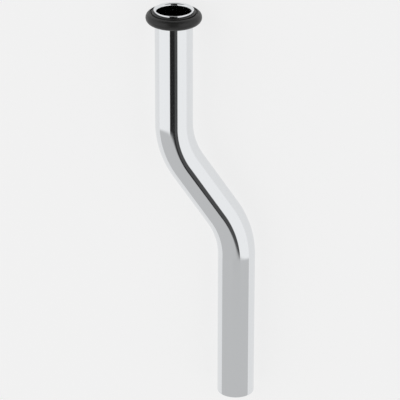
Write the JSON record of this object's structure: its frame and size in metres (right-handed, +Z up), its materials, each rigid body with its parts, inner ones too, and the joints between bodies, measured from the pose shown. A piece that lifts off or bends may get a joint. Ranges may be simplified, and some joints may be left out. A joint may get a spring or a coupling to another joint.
{
  "type": "cranked urinal flush pipe",
  "caption": "Chrome-plated tube cranked sideways by two bends, with a flared lip and black sealing ring at the valve end and a plain cut inlet end.",
  "frame": {"origin": "centre of the part's box, on the surface that it lies on", "axes": "+Y along both straight runs, from the inlet end to the valve end; +Z up from the surface; the valve run lies on the -X side"},
  "size_m": [0.0519, 0.2, 0.0264],
  "materials": {
    "chrome_plate": "polished chrome plate on brass tube",
    "seal_rubber": "moulded black rubber with a soft sheen"
  },
  "bodies": {
    "root": {"flush_pipe": "chrome_plate", "sealing_ring": "seal_rubber"}
  },
  "joints": []
}
